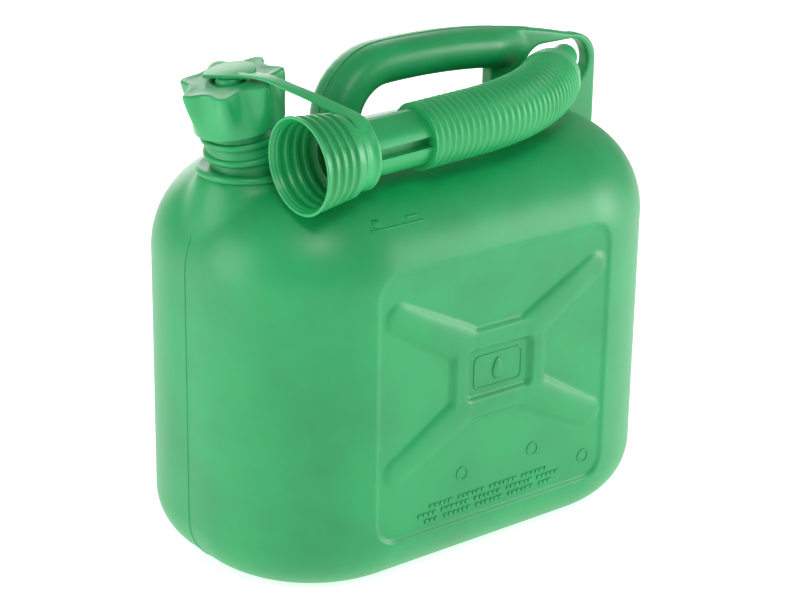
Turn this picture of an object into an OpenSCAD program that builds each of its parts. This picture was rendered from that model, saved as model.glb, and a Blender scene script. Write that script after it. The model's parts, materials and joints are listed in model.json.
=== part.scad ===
// Five-litre fuel can with a screw cap, a tether and a flexible pouring spout.
// Frame: origin on the floor under the middle of the tank, X along the tank with the neck end at -X,
// the spout stowed on the -Y side of the handle, +Z up. Millimetres.

/* [Tank] */
// Length of the tank along X
tank_length = 259.4; // [240:0.1:290]
// Width of the tank between its flat side faces
tank_width = 150; // [146:1:160]
// Height of the tank's top
tank_height = 197; // [190:1:210]
// Plan radius of the two front corners
front_radius = 66; // [50:1:70]
// Plan radius of the two rear corners
rear_radius = 73; // [50:1:73]
// Radius of the shoulder between the sides and the top
shoulder_radius = 46; // [44:1:48]
// Radius of the edge between the sides and the base
base_radius = 28; // [15:1:35]
// Wall thickness of the blow-moulded tank
wall = 2.4; // [1.6:0.1:3]

/* [Embossed cross] */
// Height of the emblem's centre above the floor
cross_height = 98.8; // [90:1:105]
// Depth of the flat panel that the cross stands in
panel_depth = 2; // [1:0.5:3]
// Half width of the cross between its arm ends
cross_half_x = 64; // [50:1:66]
// Half height of the cross between its arm ends
cross_half_z = 40; // [30:1:44]

/* [Neck] */
// Forward lean of the neck
neck_tilt = 13; // [0:1:20]
// Outer radius of the neck tube
neck_r = 17.5; // [16:0.5:18]
// Radius of the filling bore
neck_bore_r = 14.8; // [12:0.2:15]
// Length of the neck above its collar
neck_length = 36; // [34:1:38]
// Radius of the collar at the foot of the neck
collar_disc_r = 24; // [21:0.5:26]

/* [Handle] */
// Height of the highest point of the handle
handle_top = 246; // [244:0.5:252]
// Radius of the long arch of the grip's top
grip_arch_r = 400; // [300:10:500]
// Height of the grip's section
grip_thickness = 20; // [16:1:22]
// Width of the grip's section
grip_width = 26; // [20:1:28]
// Thickness of the flat rear column
column_thickness = 8; // [6:0.5:9]

/* [Cap] */
// Radius of the cap's round lower rim
cap_rim_r = 21.5; // [21:0.5:23]
// Radius over the lobes at the top of the cap
cap_lobe_r = 25; // [24:0.5:26]
// Number of grip lobes
cap_lobes = 7; // [6:1:8]
// Height of the cap
cap_height = 22.3; // [20:0.1:24]
// Rise of the cap for each turn of its thread
thread_pitch = 8; // [6:0.5:8]

/* [Spout] */
// Radius of the spout's mouth
mouth_r = 22.8; // [22:0.1:23]
// Upward slope of the stowed spout
spout_pitch = 2.3; // [2:0.1:3]
// Outer radius of the bellows
bellows_r = 16; // [15:0.1:17]
// Radius of the bend that the stowed bellows takes
bellows_bend_r = 111; // [100:1:130]
// Angle of the stowed bend
bellows_bend = 38; // [34:1:42]
// Radius of the rounded end of the nozzle's shoulder
nozzle_shoulder_r = 14.5; // [13:0.1:15]
// Outer radius of the nozzle's tip
tip_r = 7; // [6:0.1:8.7]
// Wall thickness of the spout's mouldings
spout_wall = 1.4; // [1:0.1:1.6]

/* [Hidden] */

eps = 0.5;            // overlap that keeps cuts clean
fit = 0.1;            // gap between pieces that turn or slide on each other
hull_fn = 48;
round_fn = 64;
arc_steps = 8;

panel_x = [-74.3, 69.7];
panel_z = [24.3, 159.4];
panel_corner_r = 12;
cross_x = -1;
arm_r = 9;
frame_half = [29, 23];
pocket_half = [19.8, 12.3];

neck_foot = [-93.6, 0, tank_height + 1.5];
collar_disc_h = 2.6;
thread_bead_r = 1.5;
thread_beads = [for (i = [0 : 2]) 9 + i * thread_pitch];
cap_start = 21;                       // cap rim, along the neck's axis
cap_top = cap_start + cap_height;
cap_bore_r = 19.4;
cap_plate = 2;
recess_r = 9;
recess_depth = 3;
boss_r = 4.5;
plug_r = 2.4;
lobe_phase = 20.2;
lobe_r = 6;
eye_r = 12.5;
eye_thickness = 1.8;
eye_cut = 4;                          // straight edge of the eye, from its centre
eye_cut_angle = 207;
eye_start = cap_top + 1.3;

mouth = [-103.4, -52, 211.6];
ridge_pitch = 4.6;
ridge_depth = 1.5;
ridge_count = 4;
ring_seat_r = 16.5;
ring_r = 18;
ring_from = 24.2;
ring_to = 33.4;
collar_length = 34.5;
gasket_from = 20;
gasket_to = 22;
stem_r = 13.2;
stem_bore_r = 8;
stem_end = 66;
spigot_length = 8;
bellows_straight = 34;
// Gap between soft neighbours on different bodies
soft_gap = 0.3;
bellows_wall = 1.7;
nozzle_length = 48;
shoulder_centre = 10.4;

bend_centre_x = -17.8;
bend_centre_z = 209;
bend_r = handle_top - grip_thickness / 2 - bend_centre_z - 0.5;
grip_arch_x = 2;
grip_from_x = -20;
grip_to_x = 48;
grip_fade = [[26, 9], [18, 14], [9, 22]];   // how far behind grip_to_x, and the width there
leg_reach = 11;
leg_drop = 32;
leg_flare = [24, 6];
column_x = [50, 120];
column_corner_r = 14;
column_foot_z = 165;
slot_x = [69, 115];
slot_z = [205, 230];

function arc(cx, cy, r, a0, a1, n) = [for (i = [0 : n]) let (a = a0 + (a1 - a0) * i / n) [cx + r * cos(a), cy + r * sin(a)]];
function grip_top(x) = handle_top - grip_arch_r + sqrt(grip_arch_r * grip_arch_r - pow(x - grip_arch_x, 2));

// Section of one rounded tank corner, from its vertical axis out to the side wall, inset by skin
module corner_section(r, skin) {
    polygon(concat(
        [[0, skin]],
        arc(r - base_radius, base_radius, base_radius - skin, 270, 360, arc_steps),
        arc(r - shoulder_radius, tank_height - shoulder_radius, shoulder_radius - skin, 0, 90, arc_steps),
        [[0, tank_height - skin]]));
}

// The tank's outer form, inset by skin
module tank_form(skin) {
    hull()
        for (side = [-1, 1]) {
            translate([-tank_length / 2 + front_radius, side * (tank_width / 2 - front_radius), 0])
                rotate_extrude($fn = hull_fn) corner_section(front_radius, skin);
            translate([tank_length / 2 - rear_radius, side * (tank_width / 2 - rear_radius), 0])
                rotate_extrude($fn = hull_fn) corner_section(rear_radius, skin);
        }
}

// Places children in the neck's frame: Z along the leaning axis, from the collar's top
module at_neck(s = 0) {
    translate(neck_foot) rotate([0, -neck_tilt, 0]) translate([0, 0, s]) children();
}

// A round-backed bar between two points of a side face
module cross_arm(from, to) {
    run = to - from;
    translate([from[0], 0, from[1]])
        rotate([0, atan2(run[0], run[1]), 0]) {
            cylinder(h = norm(run), r = arm_r, $fn = round_fn);
            translate([0, 0, norm(run)]) sphere(r = arm_r, $fn = round_fn);
        }
}

module rounded_plate(half, r) {
    for (sx = [-1, 1], sz = [-1, 1])
        translate([sx * (half[0] - r), sz * (half[1] - r)]) circle(r = r, $fn = round_fn);
    square([2 * half[0], 2 * (half[1] - r)], center = true);
    square([2 * (half[0] - r), 2 * half[1]], center = true);
}

// Cross with a framed pocket, as tall as the panel is deep, for the side face at +Y
module cross_emblem() {
    translate([cross_x, tank_width / 2, cross_height]) {
        for (sx = [-1, 1], sz = [-1, 1])
            translate([0, -arm_r, 0])
                cross_arm([sx * frame_half[0] * 0.8, sz * frame_half[1] * 0.8],
                          [sx * (cross_half_x - arm_r), sz * (cross_half_z - arm_r * 0.6)]);
        rotate([90, 0, 0])
            linear_extrude(panel_depth + 1)
                difference() {
                    rounded_plate(frame_half, 6);
                    rounded_plate(pocket_half, 3);
                }
    }
}

// Slab over the flat panel of the side at +Y, from a depth to well outside the tank
module panel_slab(depth, margin) {
    centre = [(panel_x[0] + panel_x[1]) / 2, (panel_z[0] + panel_z[1]) / 2];
    half = [(panel_x[1] - panel_x[0]) / 2 + margin, (panel_z[1] - panel_z[0]) / 2 + margin];
    translate([centre[0], tank_width / 2 + 10, centre[1]]) rotate([90, 0, 0])
        linear_extrude(10 + depth) rounded_plate(half, panel_corner_r);
}

module tank_shell() {
    color([0.09, 0.58, 0.33])
        difference() {
            tank_form(0);
            for (side = [0, 1]) mirror([0, side, 0])
                difference() {
                    panel_slab(panel_depth, 0);
                    cross_emblem();
                }
            difference() {
                tank_form(wall);
                for (side = [0, 1]) mirror([0, side, 0]) panel_slab(panel_depth + wall, wall);
            }
            at_neck(-40) cylinder(h = neck_length + 41, r = neck_bore_r, $fn = round_fn);
        }
}

// Threaded neck on its swollen foot, above the tank's own surface
module tank_neck() {
    color([0.11, 0.60, 0.35])
        difference() {
            union() {
                at_neck(-16) cylinder(h = neck_length + 16, r = neck_r, $fn = round_fn);
                at_neck(-12) cylinder(h = 11, r1 = 26, r2 = 19, $fn = round_fn);
                translate([neck_foot[0], 0, neck_foot[2] - collar_disc_h])
                    cylinder(h = collar_disc_h, r = collar_disc_r, $fn = round_fn);
                for (s = thread_beads)
                    at_neck(s) rotate_extrude($fn = round_fn)
                        translate([neck_r, 0]) circle(r = thread_bead_r, $fn = 24);
            }
            tank_form(0);
            at_neck(-40) cylinder(h = neck_length + 41, r = neck_bore_r, $fn = round_fn);
        }
}

// Station of the grip on its long arch
function arch_station(x, width) =
    let (nx = (x - grip_arch_x) / grip_arch_r, nz = sqrt(1 - nx * nx), r = grip_arch_r - grip_thickness / 2)
        [grip_arch_x + r * nx, handle_top - grip_arch_r + r * nz, nx, nz, grip_thickness, width];

// Stations of the grip, from the rear column forwards, round the front bend and down the leg.
// Each is [x, z, outward normal x, outward normal z, thickness, width]
grip_stations = concat(
    [for (s = grip_fade) arch_station(grip_to_x + s[0], s[1])],
    [for (x = [grip_to_x : -(grip_to_x - grip_from_x) / 8 : grip_from_x - 0.1])
        arch_station(x, grip_width)],
    [for (a = [105 : 15 : 180])
        [bend_centre_x + bend_r * cos(a), bend_centre_z + bend_r * sin(a), cos(a), sin(a), grip_thickness, grip_width]],
    [for (f = [0.2 : 0.2 : 1])
        [bend_centre_x - bend_r - leg_reach * pow(f, 1.3), bend_centre_z - leg_drop * f, -1, 0,
         grip_thickness + leg_flare[0] * pow(f, 1.5), grip_width + leg_flare[1] * pow(f, 1.5)]]);

// Solid through the grip's stations, with rounded sections
module grip_loft() {
    m = 32;
    n = len(grip_stations);
    function swell(v) = sign(v) * pow(abs(v), 0.8);
    points = [for (s = grip_stations, k = [0 : m - 1])
        let (u = swell(cos(360 * k / m)) * s[4] / 2, v = swell(sin(360 * k / m)) * s[5] / 2)
            [s[0] + u * s[2], v, s[1] + u * s[3]]];
    faces = concat(
        [[for (k = [0 : m - 1]) k]],
        [for (i = [0 : n - 2], k = [0 : m - 1])
            [m * i + k, m * (i + 1) + k, m * (i + 1) + (k + 1) % m, m * i + (k + 1) % m]],
        [[for (k = [m - 1 : -1 : 0]) m * (n - 1) + k]]);
    polyhedron(points, faces, convexity = 6);
}

module column_outline() {
    top_x = column_x[1] - column_corner_r;
    intersection() {
        translate([grip_arch_x, handle_top - grip_arch_r]) circle(r = grip_arch_r - 0.1, $fn = 360);
        translate([column_x[0], column_foot_z]) square([top_x - column_x[0], handle_top - column_foot_z]);
    }
    translate([top_x, grip_top(top_x) - column_corner_r]) circle(r = column_corner_r, $fn = round_fn);
    translate([top_x - eps, column_foot_z])
        square([column_corner_r + eps, grip_top(top_x) - column_corner_r - column_foot_z]);
}

module slot_outline() {
    r = (slot_z[1] - slot_z[0]) / 2;
    for (x = [slot_x[0] + r, slot_x[1] - r])
        translate([x, slot_z[0] + r]) circle(r = r, $fn = round_fn);
    translate([slot_x[0] + r, slot_z[0]]) square([slot_x[1] - slot_x[0] - 2 * r, 2 * r]);
}

module tank_handle() {
    color([0.10, 0.60, 0.34])
        difference() {
            union() {
                grip_loft();
                rotate([90, 0, 0]) linear_extrude(column_thickness, center = true) column_outline();
            }
            tank_form(0);
            rotate([90, 0, 0]) linear_extrude(grip_width + 8, center = true) slot_outline();
        }
}

module screw_cap() {
    lobe_lean = atan2(cap_lobe_r - cap_rim_r, cap_height);
    color([0.13, 0.66, 0.38])
        at_neck(cap_start)
            difference() {
                union() {
                    cylinder(h = cap_height, r1 = cap_rim_r, r2 = cap_rim_r - 1.2, $fn = round_fn);
                    intersection() {
                        for (i = [0 : cap_lobes - 1])
                            rotate([0, 0, lobe_phase + i * 360 / cap_lobes])
                                translate([cap_rim_r - lobe_r, 0, 0]) rotate([0, lobe_lean, 0])
                                    cylinder(h = cap_height + 2, r1 = lobe_r * 0.9, r2 = lobe_r, $fn = round_fn);
                        cylinder(h = cap_height, r = cap_lobe_r + 1, $fn = round_fn);
                    }
                }
                translate([0, 0, -eps])
                    cylinder(h = cap_height - recess_depth - cap_plate + eps, r = cap_bore_r, $fn = round_fn);
                translate([0, 0, cap_height - recess_depth])
                    difference() {
                        cylinder(h = recess_depth + eps, r = recess_r, $fn = round_fn);
                        cylinder(h = recess_depth + eps, r = boss_r, $fn = round_fn);
                    }
                translate([0, 0, cap_height - recess_depth])
                    cylinder(h = recess_depth + eps, r = plug_r + fit, $fn = round_fn);
            }
}

module cap_seal() {
    seal_top = cap_top - recess_depth - cap_plate - fit;
    color([0.86, 0.87, 0.85])
        at_neck(neck_length + fit)
            difference() {
                cylinder(h = seal_top - neck_length - fit, r = cap_bore_r - 0.4, $fn = round_fn);
                translate([0, 0, -eps]) cylinder(h = 4, r = neck_bore_r - 6, $fn = round_fn);
            }
}

module tether_eye() {
    color([0.20, 0.72, 0.45])
        at_neck(eye_start) {
            difference() {
                cylinder(h = eye_thickness, r = eye_r, $fn = round_fn);
                rotate([0, 0, eye_cut_angle]) translate([eye_cut, -eye_r, -eps])
                    cube([eye_r, 2 * eye_r, eye_thickness + 2 * eps]);
            }
            translate([0, 0, -recess_depth - 1]) cylinder(h = recess_depth + 1 + eps, r = plug_r, $fn = round_fn);
        }
}

// Route of the strap's middle line, from the eye's edge to the crown of the ring
strap_route = [[-99.8, -10, 243.8], [-97.7, -16.9, 244.1], [-95.6, -22.8, 243.6], [-92.9, -30, 241.5],
               [-89.2, -36, 239.6], [-85.2, -42, 237.2], [-81.1, -47, 234.2], [-77.3, -50.6, 232],
               [-74.6, -52, 231.3]];
strap_width = 8.5;
strap_thickness = 1.5;

module tether_strap() {
    n = len(strap_route);
    function across(i) = let (t = i / (n - 1), a = 29 * (1 - t)) [cos(a), sin(a), 0];
    function run(i) = strap_route[min(i + 1, n - 1)] - strap_route[max(i - 1, 0)];
    function rise(i) = let (u = cross(across(i), run(i))) (u[2] > 0 ? u : -u) / norm(u);
    points = [for (i = [0 : n - 1], k = [[-1, -1], [1, -1], [1, 1], [-1, 1]])
        strap_route[i] + across(i) * k[0] * strap_width / 2 + rise(i) * k[1] * strap_thickness / 2];
    faces = concat(
        [[0, 1, 2, 3]],
        [for (i = [0 : n - 2], k = [0 : 3])
            [4 * i + k, 4 * (i + 1) + k, 4 * (i + 1) + (k + 1) % 4, 4 * i + (k + 1) % 4]],
        [[for (k = [3 : -1 : 0]) 4 * (n - 1) + k]]);
    color([0.20, 0.72, 0.45])
        difference() {
            polyhedron(points, faces, convexity = 4);
            at_neck(eye_start - 2) cylinder(h = 8, r = eye_r + soft_gap, $fn = round_fn);
            at_spout(ring_from - eps) cylinder(h = ring_to - ring_from + 4, r = ring_r + soft_gap, $fn = round_fn);
            at_spout() cylinder(h = ring_from - fit, r = mouth_r, $fn = round_fn);
        }
}

// Places children in the spout's frame: Z along the spout's straight axis, at a distance s from the mouth
module at_spout(s = 0) {
    translate(mouth) rotate([0, -spout_pitch, 0]) translate([s, 0, 0]) rotate([0, 90, 0]) children();
}

// Places children at the far end of the bent bellows, with X along the nozzle's axis
module at_nozzle() {
    translate(mouth) rotate([0, -spout_pitch, 0])
        translate([stem_end + bellows_straight + bellows_bend_r * sin(bellows_bend),
                   bellows_bend_r * (1 - cos(bellows_bend)), 0])
            rotate([0, 0, bellows_bend]) children();
}

module tether_ring() {
    color([0.20, 0.72, 0.45])
        at_spout(ring_from)
            difference() {
                cylinder(h = ring_to - ring_from, r = ring_r, $fn = round_fn);
                translate([0, 0, -eps]) cylinder(h = ring_to - ring_from + 2 * eps, r = ring_seat_r + fit, $fn = round_fn);
            }
}

// Outer radius of the tapered, ridged collar at a distance s from the mouth
function collar_r(s) = mouth_r - 0.12 * s;

module spout_collar() {
    ridged = [for (i = [0 : ridge_count - 1]) let (s = 2.4 + i * ridge_pitch)
        each [[collar_r(s) - 0.3, s], [collar_r(s) - ridge_depth, s + 0.9],
              [collar_r(s) - ridge_depth, s + 2], [collar_r(s) - 0.3, s + 2.9]]];
    last = ridged[len(ridged) - 1];
    outer = concat([[mouth_r, 0], [mouth_r, 1.2]], ridged,
                   [[last[0], ring_from - 0.6], [ring_seat_r, ring_from - 0.6], [ring_seat_r, collar_length]]);
    inner = concat([[stem_bore_r, collar_length], [stem_bore_r, collar_length - spout_wall],
                    [ring_seat_r - spout_wall, collar_length - spout_wall], [ring_seat_r - spout_wall, gasket_to],
                    [last[0] - spout_wall, gasket_to]],
                   [for (i = [len(ridged) - 1 : -1 : 0]) ridged[i] - [spout_wall, 0]],
                   [[mouth_r - spout_wall, 1.2], [mouth_r - spout_wall, 0]]);
    color([0.16, 0.68, 0.40])
        at_spout() rotate_extrude($fn = round_fn) polygon(concat(outer, inner));
}

module spout_gasket() {
    color([0.16, 0.17, 0.16])
        at_spout(gasket_from)
            difference() {
                cylinder(h = gasket_to - gasket_from, r = 17.4, $fn = round_fn);
                translate([0, 0, -eps]) cylinder(h = 4, r = 12.5, $fn = round_fn);
            }
}

module spout_stem() {
    groove_depth = 5;
    groove_width = 5;
    color([0.16, 0.68, 0.40])
        at_spout(collar_length)
            difference() {
                cylinder(h = stem_end + spigot_length - collar_length, r = stem_r, $fn = round_fn);
                translate([0, 0, -eps])
                    cylinder(h = stem_end + spigot_length, r = stem_bore_r, $fn = round_fn);
                for (side = [0, 1]) rotate([0, 0, -3 + 180 * side])
                    translate([-groove_width / 2, stem_r - groove_depth, -eps])
                        cube([groove_width, groove_depth + 1, stem_end - collar_length + eps]);
            }
}

module spout_bellows() {
    color([0.22, 0.74, 0.46]) {
        at_spout(stem_end)
            difference() {
                cylinder(h = bellows_straight, r = bellows_r, $fn = round_fn);
                translate([0, 0, -eps]) cylinder(h = 3, r = stem_r + fit, $fn = round_fn);
                translate([0, 0, spout_wall])
                    cylinder(h = bellows_straight, r = bellows_r - bellows_wall, $fn = round_fn);
            }
        translate(mouth) rotate([0, -spout_pitch, 0])
            translate([stem_end + bellows_straight, bellows_bend_r, 0]) rotate([0, 0, -90])
                rotate_extrude(angle = bellows_bend, $fn = 360)
                    translate([bellows_bend_r, 0]) difference() {
                        circle(r = bellows_r, $fn = round_fn);
                        circle(r = bellows_r - bellows_wall, $fn = round_fn);
                    }
    }
}

module spout_nozzle() {
    outer = concat([[bellows_r, soft_gap], [bellows_r - 0.3, 5]],
                   arc(0, shoulder_centre, nozzle_shoulder_r, 8, 44, 6),
                   [[tip_r, nozzle_length]]);
    inner = [for (i = [len(outer) - 1 : -1 : 0]) [outer[i][0] - spout_wall, outer[i][1]]];
    color([0.22, 0.74, 0.46])
        at_nozzle() rotate([0, 90, 0]) rotate_extrude($fn = round_fn) polygon(concat(outer, inner));
}

tank_shell();
tank_neck();
tank_handle();
screw_cap();
cap_seal();
tether_eye();
tether_strap();
tether_ring();
spout_collar();
spout_gasket();
spout_stem();
spout_bellows();
spout_nozzle();
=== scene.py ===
"""Looks of a five-litre polyethylene fuel can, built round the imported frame."""

import json
import logging
import math
from dataclasses import dataclass, field
from enum import Enum
from typing import Any, Callable, Sequence

import bpy
import numpy as np
from mathutils import Matrix, Vector

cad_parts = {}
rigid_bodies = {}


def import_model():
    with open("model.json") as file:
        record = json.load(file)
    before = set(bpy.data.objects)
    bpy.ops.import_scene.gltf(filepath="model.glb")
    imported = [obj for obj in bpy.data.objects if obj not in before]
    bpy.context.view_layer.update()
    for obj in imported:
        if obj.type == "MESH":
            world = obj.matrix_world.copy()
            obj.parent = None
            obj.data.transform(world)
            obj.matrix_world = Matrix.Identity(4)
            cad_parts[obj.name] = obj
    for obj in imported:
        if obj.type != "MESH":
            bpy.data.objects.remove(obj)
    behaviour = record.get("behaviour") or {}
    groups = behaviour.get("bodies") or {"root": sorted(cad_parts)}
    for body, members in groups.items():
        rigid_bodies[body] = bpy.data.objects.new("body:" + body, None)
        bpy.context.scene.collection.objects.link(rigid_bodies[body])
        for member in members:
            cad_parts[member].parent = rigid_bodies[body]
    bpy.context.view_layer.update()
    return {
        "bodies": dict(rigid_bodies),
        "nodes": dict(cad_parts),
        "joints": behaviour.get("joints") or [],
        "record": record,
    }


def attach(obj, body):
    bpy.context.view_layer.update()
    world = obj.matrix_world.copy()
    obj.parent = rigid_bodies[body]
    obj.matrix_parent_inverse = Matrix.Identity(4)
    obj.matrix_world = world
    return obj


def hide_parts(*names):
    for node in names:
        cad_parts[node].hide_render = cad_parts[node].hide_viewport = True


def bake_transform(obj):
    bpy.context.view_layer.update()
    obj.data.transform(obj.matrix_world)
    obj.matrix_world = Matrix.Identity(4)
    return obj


LOG = logging.getLogger("fuel_can")
MM = 0.001

Profile = list[tuple[float, float]]


class Side(Enum):
    """Side of the tank that an embossing sits on."""

    SPOUT = -1
    PLAIN = 1


# ---------------------------------------------------------------- nodes and materials


def linear(code: str) -> tuple[float, float, float, float]:
    """Turns an sRGB hex colour into linear RGBA.

    Args:
        code: six hex digits, with or without a leading hash.

    Returns:
        The linear colour with alpha 1.
    """
    code = code.lstrip("#")
    parts = [int(code[i : i + 2], 16) / 255 for i in (0, 2, 4)]
    lin = [c / 12.92 if c <= 0.04045 else ((c + 0.055) / 1.055) ** 2.4 for c in parts]
    return (lin[0], lin[1], lin[2], 1.0)


def add_node(
    tree: bpy.types.NodeTree,
    kind: str,
    inputs: dict[Any, Any] | None = None,
    links: dict[Any, Any] | None = None,
    **settings: Any,
) -> bpy.types.Node:
    """Adds one node with its settings, values and incoming links.

    Args:
        tree: the node tree to add to.
        kind: the node's type name.
        inputs: socket name or number to value.
        links: socket name or number to the output socket that feeds it.
        **settings: properties of the node itself.

    Returns:
        The new node.
    """
    node = tree.nodes.new(kind)
    for key, value in settings.items():
        setattr(node, key, value)
    for key, value in (inputs or {}).items():
        node.inputs[key].default_value = value
    for key, source in (links or {}).items():
        tree.links.new(source, node.inputs[key])
    return node


@dataclass(frozen=True)
class Polyethylene:
    """Moulded polyethylene in one shade, with the grain its mould leaves.

    Attributes:
        name: material name, after what it is and how it was made.
        shade: sRGB hex of the pigmented plastic.
        deep: sRGB hex where the wall is thick or the pigment has flowed together.
        roughness: middle roughness of the surface.
        grain_mm: size of the mould's fine texture.
        grain_height_mm: height of that texture.
        wave_mm: size of the slow shrinkage waves.
        wave_height_mm: height of those waves.
        translucency: subsurface weight; thin polyethylene glows a little.
    """

    name: str
    shade: str
    deep: str
    roughness: float = 0.42
    grain_mm: float = 0.9
    grain_height_mm: float = 0.02
    wave_mm: float = 38.0
    wave_height_mm: float = 0.18
    translucency: float = 0.12

    def build(self) -> bpy.types.Material:
        """Makes the material.

        Returns:
            A node material on Object coordinates.
        """
        material = bpy.data.materials.new(self.name)
        material.use_nodes = True
        tree = material.node_tree
        tree.nodes.clear()
        place = add_node(tree, "ShaderNodeTexCoord").outputs["Object"]
        flow = add_node(
            tree,
            "ShaderNodeTexNoise",
            inputs={"Scale": 1 / (self.wave_mm * MM), "Detail": 3.0, "Roughness": 0.55},
            links={"Vector": place},
        )
        grain = add_node(
            tree,
            "ShaderNodeTexNoise",
            inputs={"Scale": 1 / (self.grain_mm * MM), "Detail": 2.0, "Roughness": 0.6},
            links={"Vector": place},
        )
        colour = add_node(
            tree,
            "ShaderNodeMix",
            data_type="RGBA",
            inputs={6: linear(self.deep), 7: linear(self.shade)},
            links={
                0: add_node(
                    tree,
                    "ShaderNodeMapRange",
                    inputs={"From Min": 0.3, "From Max": 0.62},
                    links={"Value": flow.outputs["Fac"]},
                ).outputs["Result"]
            },
        )
        # satin skin: handling polishes some areas and the mould's grain dulls others
        dull = add_node(
            tree,
            "ShaderNodeMapRange",
            inputs={"To Min": self.roughness - 0.06, "To Max": self.roughness + 0.07},
            links={"Value": flow.outputs["Fac"]},
        )
        waves = add_node(
            tree,
            "ShaderNodeBump",
            inputs={"Strength": 0.5, "Distance": self.wave_height_mm * MM},
            links={"Height": flow.outputs["Fac"]},
        )
        bump = add_node(
            tree,
            "ShaderNodeBump",
            inputs={"Strength": 0.6, "Distance": self.grain_height_mm * MM},
            links={"Height": grain.outputs["Fac"], "Normal": waves.outputs["Normal"]},
        )
        surface = add_node(
            tree,
            "ShaderNodeBsdfPrincipled",
            inputs={
                "IOR": 1.53,
                "Subsurface Weight": self.translucency,
                "Subsurface Radius": (0.4, 1.0, 0.5),
                "Subsurface Scale": 2.2 * MM,
            },
            links={
                "Base Color": colour.outputs[2],
                "Roughness": dull.outputs["Result"],
                "Normal": bump.outputs["Normal"],
            },
        )
        add_node(tree, "ShaderNodeOutputMaterial", links={"Surface": surface.outputs["BSDF"]})
        return material


# high-density polyethylene, blow-moulded: satin, slightly wavy, mid green right through
TANK_HDPE = Polyethylene("hdpe_blow_moulded", "#059451", "#038848")
# high-density polyethylene, injection-moulded: smoother and a little lighter than the tank
CAP_HDPE = Polyethylene("hdpe_cap_moulded", "#1f9d5b", "#169150", roughness=0.36, wave_height_mm=0.05)
# the same resin in the spout's rigid base, thin-walled, so it glows more
SPOUT_HDPE = Polyethylene(
    "hdpe_spout_moulded", "#1c9d58", "#12934e", roughness=0.36, wave_height_mm=0.04, translucency=0.2
)
# low-density polyethylene: soft and waxy, the lightest shade on the can
SOFT_LDPE = Polyethylene(
    "ldpe_flexible", "#28a560", "#1d9c56", roughness=0.4, wave_height_mm=0.04, translucency=0.2
)
# thermoplastic elastomer gasket: dark, dull and plain
GASKET = Polyethylene(
    "elastomer_gasket", "#146b3a", "#10602f", roughness=0.6, wave_height_mm=0.0, translucency=0.0
)
# pressed foam liner: off-white and dull, seen only when the cap is off
LINER = Polyethylene(
    "foam_liner", "#e2e4dd", "#d5d8cf", roughness=0.8, wave_height_mm=0.0, translucency=0.0
)


# ---------------------------------------------------------------- mesh helpers


def mesh_object(name: str, points: np.ndarray, faces: Sequence[Sequence[int]]) -> bpy.types.Object:
    """Makes a smooth-shaded object at the origin from points in millimetres.

    Args:
        name: piece name.
        points: N by 3 array, row frame, millimetres.
        faces: corner numbers of each face, anticlockwise from outside.

    Returns:
        The object, linked to the scene.
    """
    mesh = bpy.data.meshes.new(name)
    mesh.from_pydata((np.asarray(points, float) * MM).tolist(), [], [list(f) for f in faces])
    mesh.update()
    mesh.shade_smooth()
    obj = bpy.data.objects.new(name, mesh)
    bpy.context.collection.objects.link(obj)
    return obj


def join(name: str, parts: Sequence[bpy.types.Object]) -> bpy.types.Object:
    """Joins mesh objects at the origin into one.

    Args:
        name: name of the joined piece.
        parts: the objects; they are removed.

    Returns:
        The joined object.
    """
    points: list[np.ndarray] = []
    faces: list[list[int]] = []
    offset = 0
    for part in parts:
        mesh = part.data
        co = np.empty(len(mesh.vertices) * 3)
        mesh.vertices.foreach_get("co", co)
        points.append(co.reshape(-1, 3) / MM)
        faces += [[offset + v for v in p.vertices] for p in mesh.polygons]
        offset += len(mesh.vertices)
        bpy.data.objects.remove(part)
    return mesh_object(name, np.vstack(points), faces)


def crease(obj: bpy.types.Object, degrees: float = 38.0) -> bpy.types.Object:
    """Keeps edges sharper than an angle crisp in an otherwise smooth mesh."""
    obj.data.set_sharp_from_angle(angle=math.radians(degrees))
    return obj


def revolve(profile: Profile, segments: int, closed: bool = False) -> tuple[np.ndarray, list[list[int]]]:
    """Turns a profile about local Z.

    Args:
        profile: (radius, height) pairs; radius 0 at an end makes a pole.
        segments: divisions round the axis.
        closed: joins the last pair to the first, as for a ring.

    Returns:
        Points and faces, facing outward when the profile runs upward on the outside.
    """
    angles = np.arange(segments) * 2 * math.pi / segments
    points: list[tuple[float, float, float]] = []
    rows: list[list[int]] = []
    for radius, height in profile:
        if radius < 1e-6:
            rows.append([len(points)] * segments)
            points.append((0.0, 0.0, height))
            continue
        rows.append(list(range(len(points), len(points) + segments)))
        points += [(radius * math.cos(a), radius * math.sin(a), height) for a in angles]
    pairs = list(zip(rows, rows[1:])) + ([(rows[-1], rows[0])] if closed else [])
    faces: list[list[int]] = []
    for low, high in pairs:
        for k in range(segments):
            n = (k + 1) % segments
            corners = [low[k], low[n], high[n], high[k]]
            face = [c for i, c in enumerate(corners) if c != corners[i - 1]]
            if len(face) > 2:
                faces.append(face)
    return np.array(points), faces


def loft(sections: Sequence[np.ndarray], cap: bool = True) -> tuple[np.ndarray, list[list[int]]]:
    """Skins equal-sized closed sections in order.

    Args:
        sections: arrays of points, each running anticlockwise seen from the path's end.
        cap: closes both ends with one face each.

    Returns:
        Points and faces.
    """
    size = len(sections[0])
    faces: list[list[int]] = []
    for i in range(len(sections) - 1):
        for k in range(size):
            n = (k + 1) % size
            faces.append([i * size + k, i * size + n, (i + 1) * size + n, (i + 1) * size + k])
    if cap:
        faces.append(list(range(size - 1, -1, -1)))
        faces.append([(len(sections) - 1) * size + k for k in range(size)])
    return np.vstack(sections), faces


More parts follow.
